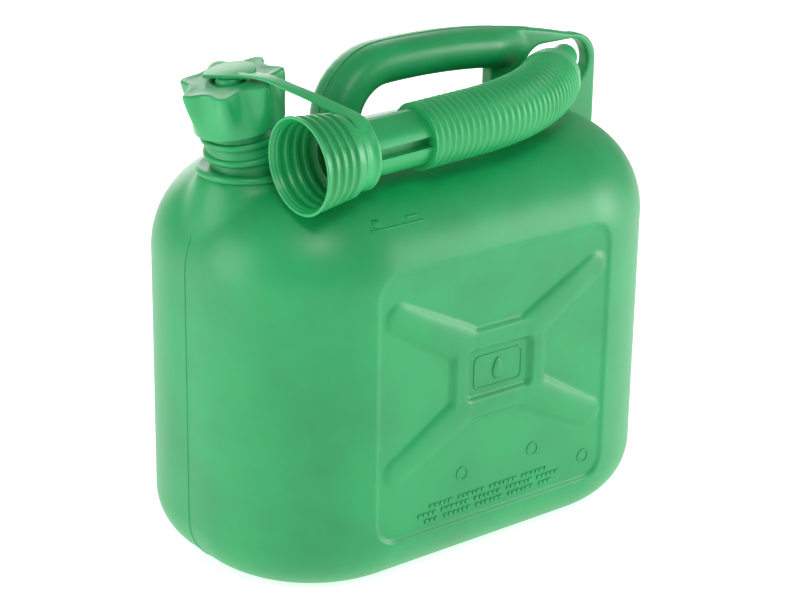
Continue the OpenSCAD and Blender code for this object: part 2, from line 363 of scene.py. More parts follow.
def tube(path: np.ndarray, radius: float, sides: int = 10) -> tuple[np.ndarray, list[list[int]]]:
    """Sweeps a round bead along points in millimetres."""
    tangent = np.gradient(path, axis=0)
    tangent /= np.linalg.norm(tangent, axis=1)[:, None]
    across = np.array([0.0, 1.0, 0.0])
    sections = []
    for point, way in zip(path, tangent):
        u = np.cross(across, way)
        u /= np.linalg.norm(u)
        v = np.cross(way, u)
        a = np.arange(sides) * 2 * math.pi / sides
        sections.append(point + radius * (np.outer(np.cos(a), u) + np.outer(np.sin(a), v)))
    return loft(sections)


def smooth(t: np.ndarray | float) -> np.ndarray:
    """Smoothstep of a value clipped to 0..1."""
    t = np.clip(t, 0, 1)
    return t * t * (3 - 2 * t)


def box_distance(
    x: np.ndarray, z: np.ndarray, centre: tuple[float, float], half: tuple[float, float], radius: float
) -> np.ndarray:
    """Signed distance to a rounded rectangle, negative inside."""
    qx = np.abs(x - centre[0]) - half[0] + radius
    qz = np.abs(z - centre[1]) - half[1] + radius
    outside = np.hypot(np.maximum(qx, 0), np.maximum(qz, 0))
    return outside + np.minimum(np.maximum(qx, qz), 0) - radius


def bar_distance(x: np.ndarray, z: np.ndarray, a: tuple[float, float], b: tuple[float, float]) -> np.ndarray:
    """Distance to the line between two points."""
    ax, az = a
    dx, dz = b[0] - ax, b[1] - az
    t = np.clip(((x - ax) * dx + (z - az) * dz) / (dx * dx + dz * dz), 0, 1)
    return np.hypot(x - ax - t * dx, z - az - t * dz)


def arc(cx: float, cy: float, r: float, a0: float, a1: float, n: int) -> Profile:
    """Points of an arc, angles in degrees."""
    return [
        (
            cx + r * math.cos(math.radians(a0 + (a1 - a0) * i / n)),
            cy + r * math.sin(math.radians(a0 + (a1 - a0) * i / n)),
        )
        for i in range(n + 1)
    ]


# ---------------------------------------------------------------- geometry node trees


class NodeTree:
    """A Geometry Nodes tree with named inputs, applied once to give a plain mesh."""

    def __init__(self, name: str, inputs: dict[str, tuple[str, Any]]) -> None:
        """Starts the tree.

        Args:
            name: name of the tree.
            inputs: input name to (socket type, value).
        """
        self.tree = bpy.data.node_groups.new(name, "GeometryNodeTree")
        face = self.tree.interface
        face.new_socket("Geometry", in_out="INPUT", socket_type="NodeSocketGeometry")
        self.values: dict[str, Any] = {}
        for label, (kind, value) in inputs.items():
            item = face.new_socket(label, in_out="INPUT", socket_type=kind)
            self.values[item.identifier] = value
        face.new_socket("Geometry", in_out="OUTPUT", socket_type="NodeSocketGeometry")
        self.start = self.tree.nodes.new("NodeGroupInput")
        self.end = self.tree.nodes.new("NodeGroupOutput")

    def node(self, kind: str, inputs: dict | None = None, links: dict | None = None, **settings: Any):
        """Adds a node to this tree; see add_node."""
        return add_node(self.tree, kind, inputs, links, **settings)

    def input(self, label: str) -> bpy.types.NodeSocket:
        """Output socket that carries a named input."""
        return self.start.outputs[label]

    def maths(self, operation: str, a: Any, b: Any) -> bpy.types.NodeSocket:
        """One arithmetic step on sockets or numbers."""
        links = {i: v for i, v in enumerate((a, b)) if isinstance(v, bpy.types.NodeSocket)}
        inputs = {i: v for i, v in enumerate((a, b)) if not isinstance(v, bpy.types.NodeSocket)}
        return self.node("ShaderNodeMath", inputs, links, operation=operation).outputs[0]

    def finish(
        self, geometry: bpy.types.NodeSocket, material: bpy.types.Material, seed: bpy.types.Object, name: str
    ) -> bpy.types.Object:
        """Ends the tree, runs it on an object and keeps the result as a plain mesh.

        Args:
            geometry: the last geometry socket.
            material: material of the result.
            seed: object whose mesh the tree starts from; it is removed.
            name: name of the new piece.

        Returns:
            The plain mesh object.
        """
        real = self.node("GeometryNodeRealizeInstances", links={0: geometry})
        dressed = self.node(
            "GeometryNodeSetMaterial", {"Material": material}, {"Geometry": real.outputs[0]}
        )
        self.tree.links.new(dressed.outputs[0], self.end.inputs[0])
        modifier = seed.modifiers.new("build", "NODES")
        modifier.node_group = self.tree
        for identifier, value in self.values.items():
            modifier[identifier] = value
        graph = bpy.context.evaluated_depsgraph_get()
        mesh = bpy.data.meshes.new_from_object(seed.evaluated_get(graph))
        mesh.name = name
        seed.modifiers.remove(modifier)
        bpy.data.objects.remove(seed)
        obj = bpy.data.objects.new(name, mesh)
        bpy.context.collection.objects.link(obj)
        return obj


def polyline(name: str, points: np.ndarray) -> bpy.types.Object:
    """Object of one open chain of edges, points in millimetres."""
    mesh = bpy.data.meshes.new(name)
    mesh.from_pydata((points * MM).tolist(), [(i, i + 1) for i in range(len(points) - 1)], [])
    obj = bpy.data.objects.new(name, mesh)
    bpy.context.collection.objects.link(obj)
    return obj


# ---------------------------------------------------------------- frames on the can


@dataclass(frozen=True)
class Axis:
    """A turned frame on the can: local X, Y, Z in row coordinates.

    Attributes:
        origin: origin in millimetres.
        x: local X direction.
        y: local Y direction.
        z: local Z direction, the axis things are turned about.
    """

    origin: tuple[float, float, float]
    x: tuple[float, float, float]
    y: tuple[float, float, float]
    z: tuple[float, float, float]

    def place(self, points: np.ndarray, along: float = 0.0) -> np.ndarray:
        """Moves local points into the row frame.

        Args:
            points: N by 3 local points.
            along: extra shift along local Z.

        Returns:
            The placed points.
        """
        p = np.asarray(points, float) + np.array([0, 0, along])
        basis = np.array([self.x, self.y, self.z])
        return np.array(self.origin) + p @ basis

    @staticmethod
    def neck(origin: tuple[float, float, float], tilt: float) -> "Axis":
        """Frame of the leaning neck, Z up along it."""
        s, c = math.sin(math.radians(tilt)), math.cos(math.radians(tilt))
        return Axis(origin, (c, 0, s), (0, 1, 0), (-s, 0, c))

    @staticmethod
    def spout(origin: tuple[float, float, float], pitch: float, yaw: float = 0.0) -> "Axis":
        """Frame of the stowed spout, Z along it towards the nozzle."""
        sp, cp = math.sin(math.radians(pitch)), math.cos(math.radians(pitch))
        sy, cy = math.sin(math.radians(yaw)), math.cos(math.radians(yaw))
        along = (cy * cp, sy, cy * sp)
        up = (-sp, 0.0, cp)
        side = (-sy * cp, cy, -sy * sp)
        return Axis(origin, tuple(-v for v in up), side, along)


NECK = Axis.neck((-93.6, 0.0, 198.5), 13.0)
MOUTH = (-103.4, -52.0, 211.6)
SPOUT = Axis.spout(MOUTH, 2.3)


# ---------------------------------------------------------------- the tank


@dataclass
class TankShell:
    """Hollow blow-moulded body with its recessed panels and raised crosses.

    Attributes:
        material: plastic of the moulding.
    """

    material: bpy.types.Material
    length: float = 259.4
    width: float = 150.0
    height: float = 197.0
    front_radius: float = 66.0
    rear_radius: float = 73.0
    shoulder: float = 46.0
    base_edge: float = 28.0
    neck_foot: float = -94.2
    panel_floor: float = 73.0
    panel_centre: tuple[float, float] = (-2.3, 91.85)
    panel_half: tuple[float, float] = (72.0, 67.55)
    cross: tuple[float, float] = (-1.0, 98.8)
    arm_ends: tuple[float, float] = (61.0, 38.4)
    arm_widths: tuple[float, float] = (9.4, 7.4)
    arm_rise: float = 2.5
    frame_half: tuple[float, float] = (29.0, 23.0)
    pocket_half: tuple[float, float] = (19.8, 12.3)

    def outline(self) -> tuple[np.ndarray, np.ndarray]:
        """Plan outline, dense along the panels.

        Returns:
            Points (N by 2) and outward normals (N by 2), anticlockwise from above.
        """
        points: list[tuple[float, float]] = []
        normals: list[tuple[float, float]] = []
        half_l, half_w = self.length / 2, self.width / 2

        def corner(cx: float, cy: float, r: float, degrees: Sequence[float]) -> None:
            for a in degrees:
                n = (math.cos(math.radians(a)), math.sin(math.radians(a)))
                points.append((cx + r * n[0], cy + r * n[1]))
                normals.append(n)

        rear = [*range(0, 78, 3), *np.arange(78.0, 90.0, 0.9)]
        front = [*np.arange(90.0, 101.5, 0.95), *range(102, 180, 3)]
        xs = np.linspace(half_l - self.rear_radius, self.front_radius - half_l, 112)
        cx_r, cx_f = half_l - self.rear_radius, self.front_radius - half_l
        cy_r, cy_f = half_w - self.rear_radius, half_w - self.front_radius
        corner(cx_r, cy_r, self.rear_radius, rear)
        for x in xs[:-1]:
            points.append((x, half_w))
            normals.append((0, 1))
        corner(cx_f, cy_f, self.front_radius, front)
        for y in np.linspace(cy_f, -cy_f, 8)[:-1]:
            points.append((-half_l, y))
            normals.append((-1, 0))
        corner(cx_f, -cy_f, self.front_radius, [360 - a for a in reversed(front)])
        for x in xs[::-1][1:]:
            points.append((x, -half_w))
            normals.append((0, -1))
        corner(cx_r, -cy_r, self.rear_radius, [360 - a for a in reversed(rear)][:-1])
        points.append((half_l, -cy_r))
        normals.append((1, 0))
        return np.array(points), np.array(normals)

    def rows(self) -> Profile:
        """(inset, height) of each row, from the base's rim to the top's rim."""
        base = [(self.base_edge - x, self.base_edge + z) for x, z in arc(0, 0, self.base_edge, 270, 322, 9)]
        low = [(self.base_edge - x, self.base_edge + z) for x, z in arc(0, 0, self.base_edge, 326, 360, 18)]
        top_z = self.height - self.shoulder
        wall = [(0.0, float(z)) for z in np.linspace(self.base_edge, top_z, 114)[1:-1]]
        high = [(self.shoulder - x, top_z + z) for x, z in arc(0, 0, self.shoulder, 0, 14, 11)]
        round_ = [(self.shoulder - x, top_z + z) for x, z in arc(0, 0, self.shoulder, 17, 90, 22)]
        return base + low + wall + high + round_

    def relief(self, x: np.ndarray, z: np.ndarray) -> tuple[np.ndarray, np.ndarray]:
        """Depth of the panel and height of what stands on it.

        Args:
            x: positions along the tank.
            z: heights.

        Returns:
            How far each point sinks to the panel's floor (0..1), and the rise above that floor.
        """
        sunk = smooth(-box_distance(x, z, self.panel_centre, self.panel_half, 12.0) / 2.6 + 0.15)
        cx, cz = self.cross
        rise = np.zeros_like(x)
        for sx in (-1, 1):
            for sz in (-1, 1):
                root = (cx + sx * self.frame_half[0] * 0.7, cz + sz * self.frame_half[1] * 0.7)
                end = (cx + sx * self.arm_ends[0], cz + sz * self.arm_ends[1])
                d = bar_distance(x, z, root, end)
                out = np.clip(sx * (x - root[0]) / abs(end[0] - root[0]), 0, 1)
                half = self.arm_widths[0] + (self.arm_widths[1] - self.arm_widths[0]) * out
                back = np.clip(1 - (d / half) ** 2, 0, 1) ** 0.55
                rise = np.maximum(rise, self.arm_rise * back * (1 - 0.35 * out**3))
        frame = 2.2 * smooth(-box_distance(x, z, self.cross, self.frame_half, 6.0) / 3.2 + 0.3)
        rise = np.maximum(rise, frame)
        pocket = smooth(-box_distance(x, z, self.cross, self.pocket_half, 3.0) / 1.8 + 0.5)
        rise = rise * (1 - pocket)
        return sunk, rise

    def swell(self, xy: np.ndarray, z: float) -> np.ndarray:
        """Heights of a row, raised where the shoulder swells up to the neck's collar.

        Args:
            xy: plan positions of the row.
            z: the row's height.

        Returns:
            One height per point.
        """
        away = np.hypot(xy[:, 0] - self.neck_foot, xy[:, 1])
        cone = np.minimum(196.0 - 2.6 * (away - 22.5) - 0.9 * np.maximum(away - 29, 0) ** 2, 196.2)
        soft = 6.0
        near = np.maximum(soft - np.abs(z - cone), 0) / soft
        raised = np.maximum(z, cone) + near**2 * soft / 4
        share = float(smooth((z - 160) / 10))
        return z + share * (np.minimum(raised, max(z, 196.6)) - z)

    def surface(self) -> tuple[np.ndarray, list[list[int]]]:
        """Points and faces of the whole closed skin."""
        outline, normals = self.outline()
        count = len(outline)
        sections = []
        for inset, z in self.rows():
            xy = outline - normals * inset
            side = np.abs(xy[:, 1])
            sunk, rise = self.relief(xy[:, 0], np.full(count, z))
            floor = np.minimum(side, self.panel_floor)
            facing = smooth((np.abs(normals[:, 1]) - 0.9) / 0.06)
            new = side + (floor + rise - side) * sunk * facing
            xy = np.column_stack([xy[:, 0], np.sign(xy[:, 1]) * np.where(side > 30, new, side)])
            sections.append(np.column_stack([xy, self.swell(xy, z)]))
        points, faces = loft(sections, cap=False)
        points = points.tolist()
        last = (len(sections) - 1) * count
        for start, z, flip in ((0, 0.0, True), (last, self.height, False)):
            ring = list(range(start, start + count))
            rim = np.array([points[i] for i in ring])
            for scale in (0.9, 0.6, 0.3):
                inner = np.array([0, 0, z]) + (rim - np.array([0, 0, z])) * [scale, scale, 1]
                new_ring = list(range(len(points), len(points) + count))
                points += inner.tolist()
                for k in range(count):
                    n = (k + 1) % count
                    face = [ring[k], ring[n], new_ring[n], new_ring[k]]
                    faces.append(face[::-1] if flip else face)
                ring = new_ring
            centre = len(points)
            points.append([0.0, 0.0, z])
            for k in range(count):
                face = [ring[k], ring[(k + 1) % count], centre]
                faces.append(face[::-1] if flip else face)
        return np.array(points), faces

    def seam(self) -> np.ndarray:
        """Path of the parting line over the front and the rear, at Y 0."""
        front = [(-self.length / 2 + i, 0.0, z) for i, z in self.rows()]
        rear = [(self.length / 2 - i, 0.0, z) for i, z in reversed(self.rows())]
        return np.array(front + rear)

    def droplet(self, side: Side) -> bpy.types.Object:
        """Raised drop in the pocket, standing in for a maker's plaque.

        Args:
            side: which face it is on.

        Returns:
            The object.
        """
        sections = []
        for scale, rise in ((1.0, -0.6), (1.0, 0.25), (0.86, 0.62), (0.55, 0.8), (0.15, 0.86)):
            ring = []
            for k in range(48):
                a = 2 * math.pi * k / 48
                swell = 4.3 * (1 + 0.55 * max(0.0, math.sin(a)) ** 6)
                ring.append(
                    (
                        self.cross[0] + scale * swell * math.cos(a) * 0.82,
                        side.value * (self.panel_floor + rise),
                        self.cross[1] - 1.2 + scale * swell * math.sin(a),
                    )
                )
            sections.append(np.array(ring if side is Side.SPOUT else ring[::-1]))
        return mesh_object("droplet", *loft(sections))

    def raised_line(self, centre: tuple[float, float], half: tuple[float, float], side: Side, bead: float):
        """Rounded rectangular bead on the panel's floor."""
        corner = min(half) * 0.35
        path = []
        for sx, sz, a0 in ((1, 1, 0), (-1, 1, 90), (-1, -1, 180), (1, -1, 270)):
            path += arc(centre[0] + sx * (half[0] - corner), centre[1] + sz * (half[1] - corner), corner, a0, a0 + 90, 6)
        ring = []
        n = len(path)
        for i, (x, z) in enumerate(path):
            px, pz = path[i - 1]
            nx, nz = path[(i + 1) % n]
            t = np.array([nx - px, 0, nz - pz])
            t /= np.linalg.norm(t)
            u = np.cross(t, [0, 1, 0])
            section = []
            for k in range(8):
                a = 2 * math.pi * k / 8
                section.append(
                    np.array([x, side.value * self.panel_floor, z])
                    + bead * (math.cos(a) * u + math.sin(a) * np.array([0, 1, 0]))
                )
            ring.append(np.array(section))
        points, faces = loft(ring + [ring[0]], cap=False)
        return mesh_object("plaque_line", points, faces)

    def build(self) -> list[bpy.types.Object]:
        """Makes the shell and everything moulded into it."""
        parts = [mesh_object("skin", *self.surface()), mesh_object("seam", *tube(self.seam(), 0.32, 8))]
        for side in Side:
            parts.append(self.droplet(side))
            parts.append(self.raised_line(self.cross, (14.7, 8.1), side, 0.45))
        shell = join("tank_shell_skin", parts)
        shell.data.materials.append(self.material)
        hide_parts("tank_shell")
        marks = [self.marks(side) for side in Side] + [self.level_mark()]
        for piece in [shell, *marks]:
            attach(piece, "tank")
        return [shell, *marks]

    def marks(self, side: Side) -> bpy.types.Object:
        """Rows of plain raised dashes and three round moulding inserts, low on the panel.

        Args:
            side: which face they are on.

        Returns:
            The object.
        """
        tree = NodeTree(
            "panel_marks",
            {
                "Dash length": ("NodeSocketFloat", 2.1 * MM),
                "Dash height": ("NodeSocketFloat", 1.8 * MM),
                "Rise": ("NodeSocketFloat", 0.9 * MM),
                "Insert radius": ("NodeSocketFloat", 3.3 * MM),
                "Seed": ("NodeSocketInt", 7),
            },
        )
        dash = tree.node(
            "GeometryNodeMeshCube",
            links={
                "Size": tree.node(
                    "ShaderNodeCombineXYZ",
                    links={"X": tree.input("Dash length"), "Y": tree.input("Rise"), "Z": tree.input("Dash height")},
                ).outputs[0]
            },
        )
        ring = tree.node(
            "GeometryNodeCurveToMesh",
            links={
                "Curve": tree.node(
                    "GeometryNodeCurvePrimitiveCircle",
                    inputs={"Resolution": 28},
                    links={"Radius": tree.input("Insert radius")},
                ).outputs[0],
                "Profile Curve": tree.node(
                    "GeometryNodeCurvePrimitiveCircle", inputs={"Resolution": 6, "Radius": 0.4 * MM}
                ).outputs[0],
            },
        )
        turned = tree.node(
            "GeometryNodeTransform", {"Rotation": (math.pi / 2, 0, 0)}, {"Geometry": ring.outputs[0]}
        )
        is_insert = tree.node(
            "GeometryNodeInputNamedAttribute", {"Name": "insert"}, data_type="BOOLEAN"
        ).outputs[0]
        stretch = tree.node(
            "FunctionNodeRandomValue",
            {2: 0.55, 3: 1.25},
            {"Seed": tree.input("Seed")},
            data_type="FLOAT",
        ).outputs[1]
        size = tree.node("ShaderNodeCombineXYZ", {"Y": 1.0, "Z": 1.0}, {"X": stretch}).outputs[0]
        dashes = tree.node(
            "GeometryNodeInstanceOnPoints",
            links={
                "Points": tree.start.outputs[0],
                "Selection": tree.node("FunctionNodeBooleanMath", links={0: is_insert}, operation="NOT").outputs[0],
                "Instance": dash.outputs[0],
                "Scale": size,
            },
        )
        inserts = tree.node(
            "GeometryNodeInstanceOnPoints",
            links={"Points": tree.start.outputs[0], "Selection": is_insert, "Instance": turned.outputs[0]},
        )
        both = tree.node("GeometryNodeJoinGeometry")
        for source in (dashes, inserts):
            tree.tree.links.new(source.outputs[0], both.inputs[0])
        places: list[tuple[float, float, float]] = []
        y = side.value * (self.panel_floor + 0.05)
        for row, (start, end) in enumerate(((-40.0, 33.0), (-47.0, 40.0), (-43.0, 37.0))):
            x = start
            step = 0
            while x < end:
                if (step + row) % 7 != 5:
                    places.append((x, y, 37.0 - 3.6 * row))
                x += 2.9
                step += 1
        inserts_at = [(-21.5, y, 49.0), (23.3, y, 50.0), (57.5, y, 37.0)]
        mesh = bpy.data.meshes.new("mark_points")
        mesh.from_pydata([tuple(v * MM for v in p) for p in places + inserts_at], [], [])
        flag = mesh.attributes.new("insert", "BOOLEAN", "POINT")
        flag.data.foreach_set("value", [False] * len(places) + [True] * len(inserts_at))
        seed = bpy.data.objects.new("mark_points", mesh)
        bpy.context.collection.objects.link(seed)
        return tree.finish(both.outputs[0], self.material, seed, f"panel_marks_{side.name.lower()}")

    def level_mark(self) -> bpy.types.Object:
        """Raised filling-level line with a pointer on the shoulder above the spout-side panel."""
        pieces = []
        top_z = self.height - self.shoulder
        for dx, dz, half_x, half_z in ((0.0, 0.0, 15.0, 0.45), (-11.0, 2.4, 1.6, 1.5), (9.0, 2.4, 3.2, 0.5)):
            sections = []
            for x in np.linspace(-57.0 + dx - half_x, -57.0 + dx + half_x, 12):
                ring = []
                for k in range(8):
                    a = 2 * math.pi * k / 8
                    z = 179.0 + dz + half_z * math.sin(a)
                    inset = self.shoulder - math.sqrt(self.shoulder**2 - (z - top_z) ** 2)
                    cx = self.front_radius - self.length / 2
                    bend = self.front_radius - inset
                    back = bend - math.sqrt(bend**2 - min(0.0, x - cx) ** 2)
                    y = -(self.width / 2 - inset - back) - 0.35 * math.cos(a)
                    ring.append((x, y, z))
                sections.append(np.array(ring))
            pieces.append(mesh_object("level", *loft(sections)))
        mark = join("level_mark", pieces)
        mark.data.materials.append(self.material)
        return mark


@dataclass
class TankNeck:
    """Threaded neck on its flat collar.

    Attributes:
        material: plastic of the moulding.
    """

    material: bpy.types.Material
    radius: float = 17.5
    bore: float = 14.8
    top: float = 36.0
    collar_radius: float = 23.9
    thread_lead: float = 8.0
    thread_turns: float = 3.0
    thread_radius: float = 1.9

    def build(self) -> list[bpy.types.Object]:
        """Makes the neck tube, its collar and its thread."""
        profile = (
            [(self.bore, self.top), (self.bore, -9.0), (self.radius - 0.1, -9.0)]
            + [(self.radius + 1.2, -1.0), (self.radius + 1.2, 0.2), (self.radius, 1.6)]
            + [(self.radius, self.top - 1.0), (self.radius - 0.4, self.top - 0.2), (self.radius - 1.0, self.top)]
        )
        points, faces = revolve(profile, 96, closed=True)
        tube_ = mesh_object("neck_tube", NECK.place(points), faces)
        z0 = 194.9
        rim = arc(self.collar_radius - 1.9, z0 + 1.9, 1.9, -80, 100, 10)
        collar_profile = [(15.5, z0), (self.collar_radius - 2.5, z0)] + rim + [(19.0, z0 + 3.1), (15.5, z0 + 3.1)]
        points, faces = revolve(collar_profile, 96, closed=True)
        collar = mesh_object("neck_collar", points + np.array([-94.2, 0, 0]), faces)
        body = join("tank_neck_tube", [tube_, collar])
        crease(body, 50)
        body.data.materials.append(self.material)
        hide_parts("tank_neck")
        thread = self.thread()
        for piece in (body, thread):
            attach(piece, "tank")
        return [body, thread]

    def thread(self) -> bpy.types.Object:
        """Helical thread bead, tapering in and out."""
        tree = NodeTree(
            "neck_thread",
            {
                "Radius": ("NodeSocketFloat", self.radius * MM),
                "Lead": ("NodeSocketFloat", self.thread_lead * MM),
                "Turns": ("NodeSocketFloat", self.thread_turns),
                "Bead": ("NodeSocketFloat", self.thread_radius * MM),
                "Start": ("NodeSocketFloat", 5.0 * MM),
            },
        )
        spiral = tree.node(
            "GeometryNodeCurveSpiral",
            {"Resolution": 64},
            {
                "Rotations": tree.input("Turns"),
                "Start Radius": tree.input("Radius"),
                "End Radius": tree.input("Radius"),
                "Height": tree.maths("MULTIPLY", tree.input("Lead"), tree.input("Turns")),
            },
        )
        factor = tree.node("GeometryNodeSplineParameter").outputs["Factor"]
        ends = tree.maths("MINIMUM", factor, tree.maths("SUBTRACT", 1.0, factor))
        taper = tree.maths("MINIMUM", tree.maths("MULTIPLY", ends, 22.0), 1.0)
        bead = tree.node(
            "GeometryNodeCurvePrimitiveCircle", {"Resolution": 12}, {"Radius": tree.input("Bead")}
        )
        swept = tree.node(
            "GeometryNodeCurveToMesh",
            {"Fill Caps": True},
            {"Curve": spiral.outputs[0], "Profile Curve": bead.outputs[0], "Scale": taper},
        )
        offset = tree.node("ShaderNodeCombineXYZ", links={"Z": tree.input("Start")}).outputs[0]
        lifted = tree.node(
            "GeometryNodeTransform", links={"Geometry": swept.outputs[0], "Translation": offset}
        )
        leaned = tree.node(
            "GeometryNodeTransform",
            {"Rotation": (0, -math.radians(13.0), 0), "Translation": tuple(v * MM for v in NECK.origin)},
            {"Geometry": lifted.outputs[0]},
        )
        shaded = tree.node("GeometryNodeSetShadeSmooth", links={0: leaned.outputs[0]})
        return tree.finish(shaded.outputs[0], self.material, polyline("thread_seed", np.zeros((2, 3))), "neck_thread")


@dataclass
class TankHandle:
    """Integral grip, front leg and flat rear column, blended as one moulding.

    Attributes:
        material: plastic of the moulding.
    """

    material: bpy.types.Material
    top: float = 246.0
    arch: float = 400.0
    arch_x: float = 2.0
    thickness: float = 20.0
    width: float = 26.0
    bend_centre: tuple[float, float] = (-17.8, 209.0)
    column: tuple[float, float] = (50.0, 120.0)
    column_half: float = 4.0
    slot: tuple[float, float, float, float] = (71.5, 115.0, 205.0, 230.0)
    voxel: float = 0.85

    def stations(self) -> list[tuple[float, float, float, float, float, float]]:
        """(x, z, normal x, normal z, thickness, width) along the grip, rear to foot."""
        out = []
        mid = self.arch - self.thickness / 2
        for x in np.linspace(76, -17.8, 34):
            nx = (x - self.arch_x) / self.arch
            nz = math.sqrt(1 - nx * nx)
            wide = self.width - (self.width - 8.0) * float(smooth((x - 46) / 30))
            out.append((self.arch_x + mid * nx, self.top - self.arch + mid * nz, nx, nz, self.thickness, wide))
        bend = self.top - self.thickness / 2 - self.bend_centre[1] - 0.5
        for a in range(99, 181, 9):
            c, s = math.cos(math.radians(a)), math.sin(math.radians(a))
            out.append(
                (self.bend_centre[0] + bend * c, self.bend_centre[1] + bend * s, c, s, self.thickness, self.width)
            )
        for f in np.linspace(0.1, 1, 10):
            out.append(
                (
                    self.bend_centre[0] - bend - 11 * f**1.3,
                    self.bend_centre[1] - 32 * f,
                    -1.0,
                    0.0,
                    self.thickness + 24 * f**1.5,
                    self.width + 6 * f**1.5,
                )
            )
        return out

    def grip(self) -> bpy.types.Object:
        """Loft through the stations."""
        sections = []
        for x, z, nx, nz, thick, wide in self.stations():
            ring = []
            for k in range(40):
                a = 2 * math.pi * k / 40
                u = math.copysign(abs(math.cos(a)) ** 0.8, math.cos(a)) * thick / 2
                v = math.copysign(abs(math.sin(a)) ** 0.8, math.sin(a)) * wide / 2
                ring.append((x + u * nx, v, z + u * nz))
            sections.append(np.array(ring))
        return mesh_object("grip", *loft(sections))

    def grip_top(self, x: float) -> float:
        """Height of the arch's top at x."""
        return self.top - self.arch + math.sqrt(self.arch**2 - (x - self.arch_x) ** 2)

    def column_plate(self) -> bpy.types.Object:
        """Flat column with its rounded through hole."""
        x0, x1 = self.column
        corner = 14.0
        top_x = x1 - corner
        outline = [(x0, 170.0), (x1, 170.0)]
        outline += arc(top_x, self.grip_top(top_x) - corner, corner, 0, 84, 12)
        outline += [(x, self.grip_top(x) - 0.2) for x in np.linspace(top_x - 2, x0, 14)]
        sx0, sx1, sz0, sz1 = self.slot
        r = (sz1 - sz0) / 2
        hole = arc(sx1 - r, sz0 + r, r, -90, 90, 20) + arc(sx0 + r, sz0 + r, r, 90, 270, 20)
        curve = bpy.data.curves.new("column", "CURVE")
        curve.dimensions = "2D"
        curve.fill_mode = "BOTH"
        curve.extrude = self.column_half * MM
        for loop in (outline, hole):
            spline = curve.splines.new("POLY")
            spline.points.add(len(loop) - 1)
            for point, (x, z) in zip(spline.points, loop):
                point.co = (x * MM, z * MM, 0, 1)
            spline.use_cyclic_u = True
        holder = bpy.data.objects.new("column_curve", curve)
        bpy.context.collection.objects.link(holder)
        graph = bpy.context.evaluated_depsgraph_get()
        mesh = bpy.data.meshes.new_from_object(holder.evaluated_get(graph))
        bpy.data.objects.remove(holder)
        mesh.transform(Matrix.Rotation(math.pi / 2, 4, "X"))
        obj = bpy.data.objects.new("column", mesh)
        bpy.context.collection.objects.link(obj)
        return obj

    def seam(self) -> np.ndarray:
        """Path of the parting line over the grip's back and down the leg."""
        return np.array([(x + t / 2 * nx, 0.0, z + t / 2 * nz) for x, z, nx, nz, t, _ in self.stations()])

    def build(self) -> list[bpy.types.Object]:
        """Makes the handle as one soft-edged moulding."""
        raw = join("handle_raw", [self.grip(), self.column_plate()])
        remesh = raw.modifiers.new("fuse", "REMESH")
        remesh.mode = "VOXEL"
        remesh.voxel_size = self.voxel * MM
        soften = raw.modifiers.new("soften", "SMOOTH")
        soften.factor = 0.5
        soften.iterations = 5
        graph = bpy.context.evaluated_depsgraph_get()
        mesh = bpy.data.meshes.new_from_object(raw.evaluated_get(graph))
        bpy.data.objects.remove(raw)
        fused = bpy.data.objects.new("fused", mesh)
        bpy.context.collection.objects.link(fused)
        handle = join("tank_handle_moulding", [fused, mesh_object("seam", *tube(self.seam(), 0.4, 8))])
        handle.data.materials.append(self.material)
        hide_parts("tank_handle")
        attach(handle, "tank")
        return [handle]


# ---------------------------------------------------------------- the cap and its tether


